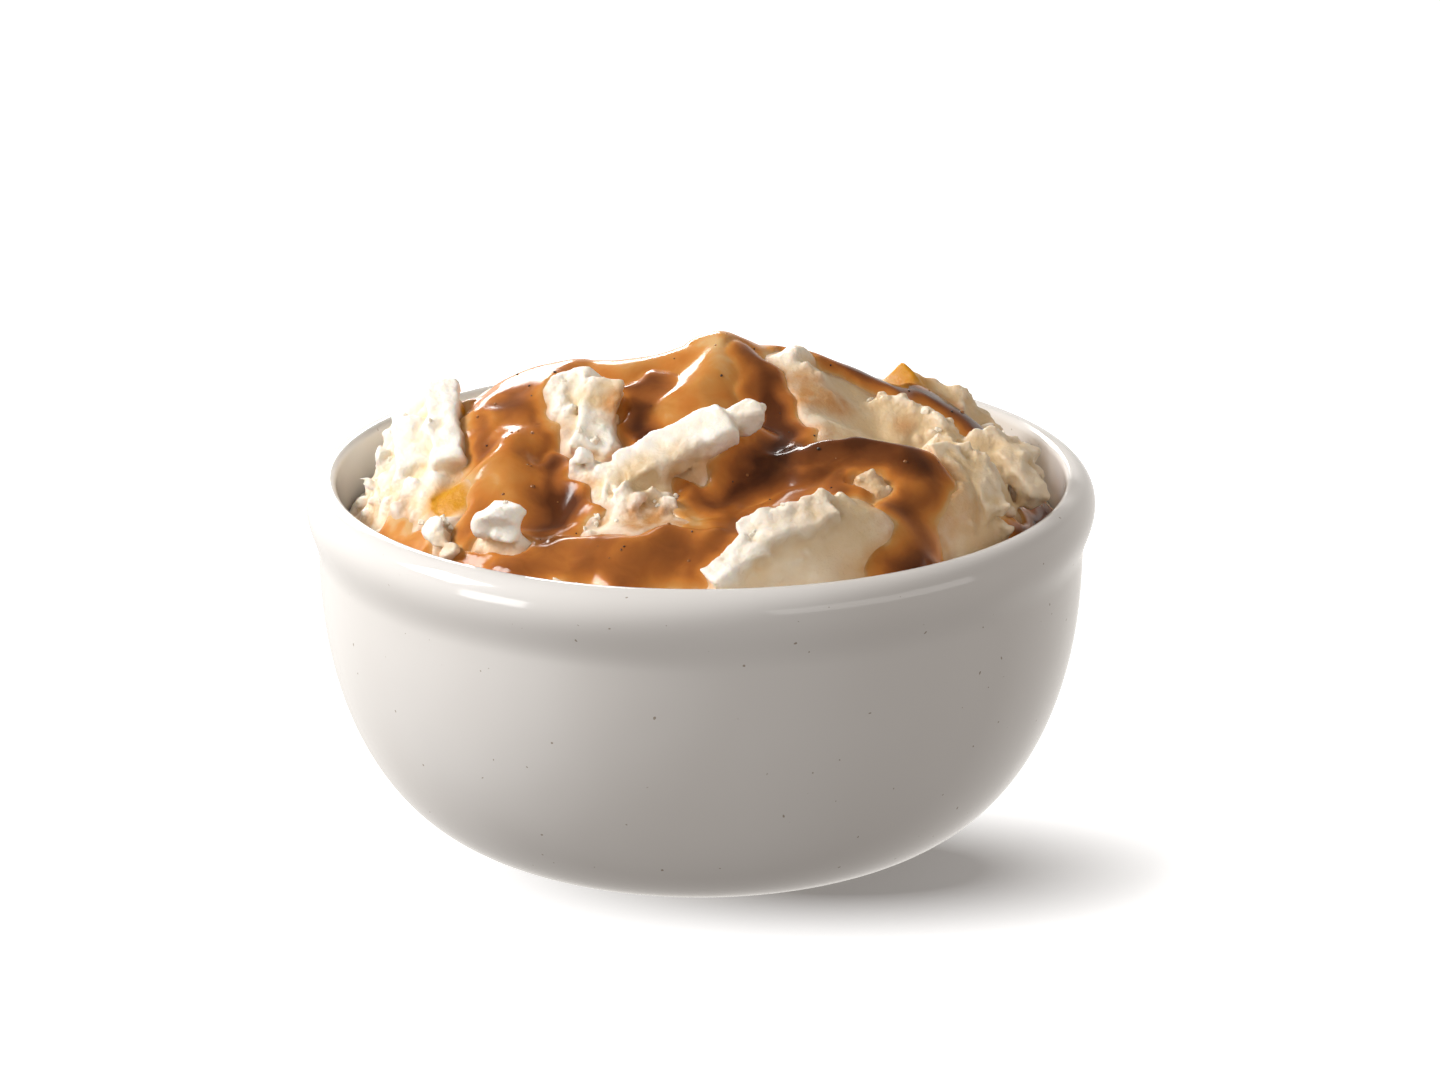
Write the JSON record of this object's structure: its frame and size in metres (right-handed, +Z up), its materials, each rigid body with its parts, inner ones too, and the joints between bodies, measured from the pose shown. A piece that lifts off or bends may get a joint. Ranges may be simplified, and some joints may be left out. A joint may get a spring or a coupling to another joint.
{
  "type": "mashed potato side",
  "caption": "Heap of mashed potato with gravy poured over it, served in a round glazed bowl with a rolled rim and a flat foot.",
  "frame": {"origin": "centre of the bowl's foot, on the surface it stands on", "axes": "+Z up along the bowl's axis; -Y towards the diner, who sees the low front of the heap; +X to the diner's right"},
  "size_m": [0.13, 0.13, 0.0825],
  "materials": {
    "glaze": "gloss",
    "mash": "satin",
    "gravy": "gloss"
  },
  "bodies": {
    "root": {"bowl": "glaze", "mash": "mash", "gravy": "gravy"}
  },
  "joints": []
}
